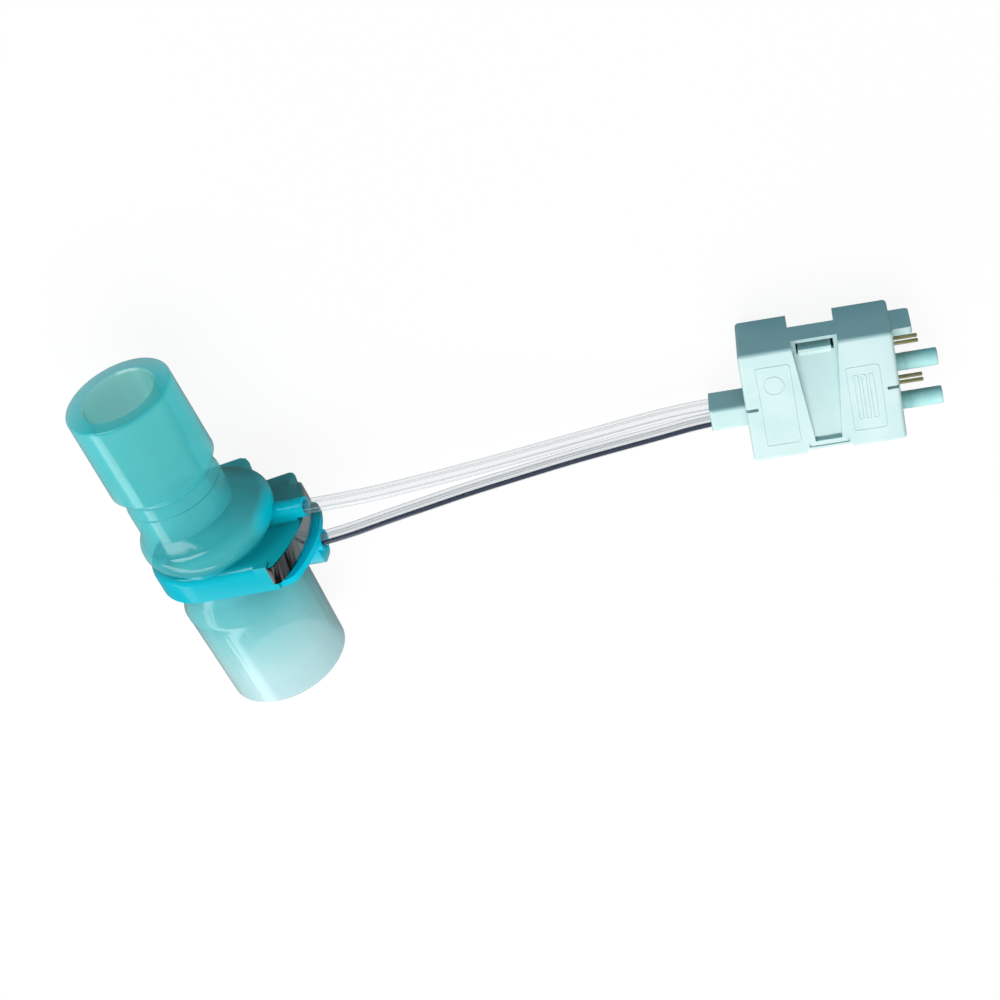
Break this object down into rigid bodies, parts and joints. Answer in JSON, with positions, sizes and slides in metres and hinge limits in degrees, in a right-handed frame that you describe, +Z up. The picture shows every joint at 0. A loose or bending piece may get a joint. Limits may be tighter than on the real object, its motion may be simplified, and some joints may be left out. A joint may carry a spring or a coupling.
{
  "type": "anaesthesia flow sensor",
  "caption": "Breathing-circuit flow sensor body with a hinged metering flap, two clear pressure tubes and a keyed plug with ports and contact pins.",
  "frame": {"origin": "centre of the footprint, on the surface that the part lies on, without the tubes", "axes": "+X from the sensor body along the tubes to the plug's ports, +Y towards the sensor's inlet, +Z up"},
  "size_m": [0.1707, 0.0791, 0.0399],
  "materials": {
    "inlet_shell": "tinted clear moulded plastic, gloss",
    "outlet_shell": "pale clear moulded plastic, gloss",
    "metering_sheet": "thin clear film, satin",
    "band_metal": "bright rolled strip",
    "plug_shell": "pale moulded plastic, semi-gloss",
    "port_plastic": "pale moulded plastic, gloss",
    "board": "solder-masked laminate",
    "chip_resin": "moulded resin",
    "capacitor_ceramic": "ceramic with tinned ends",
    "header_plastic": "moulded plastic",
    "contact_gold": "gold plated pin",
    "tube_plastic": "clear flexible tube, gloss"
  },
  "bodies": {
    "sensor": {"upper_housing": "inlet_shell", "lower_housing": "outlet_shell", "flap_frame": "metering_sheet", "clamp_band": "band_metal", "rear_shell": "plug_shell", "front_shell": "plug_shell", "port_block": "port_plastic", "circuit_board": "board", "memory_chip": "chip_resin", "capacitor": "capacitor_ceramic", "pin_header_1": "header_plastic", "pin_header_2": "header_plastic", "contact_pin_1": "contact_gold", "contact_pin_2": "contact_gold", "contact_pin_3": "contact_gold", "contact_pin_4": "contact_gold", "upper_tube": "tube_plastic", "lower_tube": "tube_plastic"},
    "flap": {"flap_leaf": "metering_sheet"}
  },
  "joints": [
    {"name": "flap_swing", "type": "hinge", "parent": "sensor", "child": "flap", "pos_m": [-0.06943, -0.00626, 0.01844], "axis": [0.1811, 0.2519, -0.9507], "range_deg": [-30, 30], "stiffness_Nm_per_rad": 0.0004}
  ]
}
